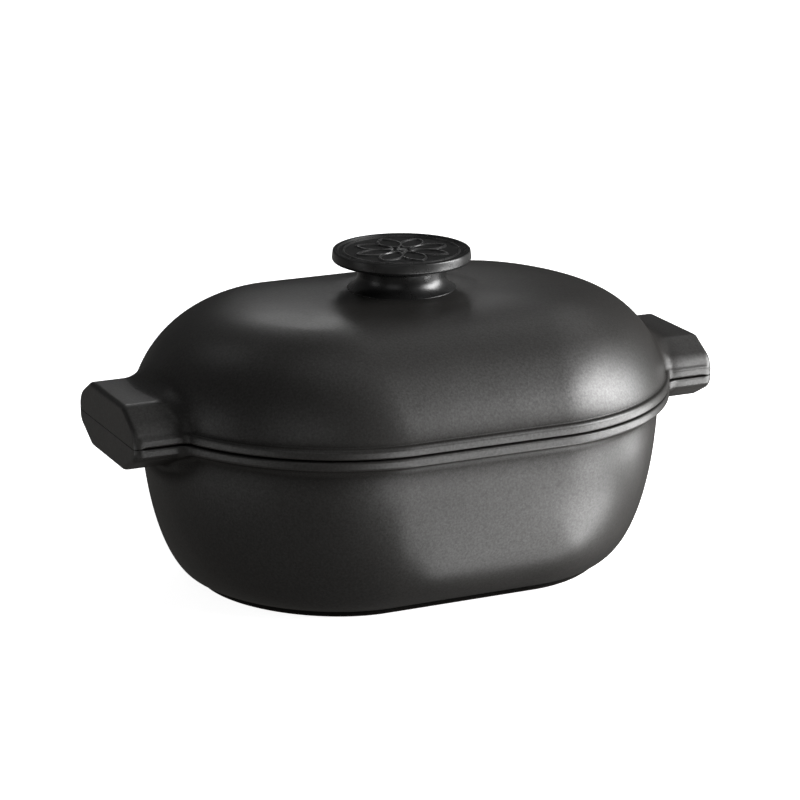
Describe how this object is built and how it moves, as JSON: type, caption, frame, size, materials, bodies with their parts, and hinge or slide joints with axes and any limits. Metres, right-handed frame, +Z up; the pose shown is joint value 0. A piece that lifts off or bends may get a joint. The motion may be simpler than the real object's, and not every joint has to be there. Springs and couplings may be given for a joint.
{
  "type": "covered casserole dish",
  "caption": "Oval covered casserole in matte black stoneware: deep dish, domed lift-off lid with a round screwed-on knob, and blocky end handles split at the rim.",
  "frame": {"origin": "centre of the foot, on the surface the dish stands on", "axes": "+X along the handles (the longest direction), -Y towards the front, +Z up"},
  "size_m": [0.39, 0.2592, 0.2023],
  "materials": {
    "stoneware": "matte black glaze with a soft satin sheen",
    "knob_resin": "black heat-resistant resin, semi-gloss",
    "silicone": "dark grey silicone",
    "stainless": "plain stainless steel",
    "brass": "machined brass"
  },
  "bodies": {
    "pot": {"pot_body": "stoneware"},
    "lid": {"lid_shell": "stoneware", "knob": "knob_resin", "knob_insert": "brass", "knob_gasket": "silicone", "inner_seal": "silicone", "steel_washer": "stainless", "knob_screw": "stainless"}
  },
  "joints": [
    {"name": "lid_lift", "type": "slide", "parent": "pot", "child": "lid", "axis": [0, 0, 1], "range_m": [0, 0.12]}
  ]
}
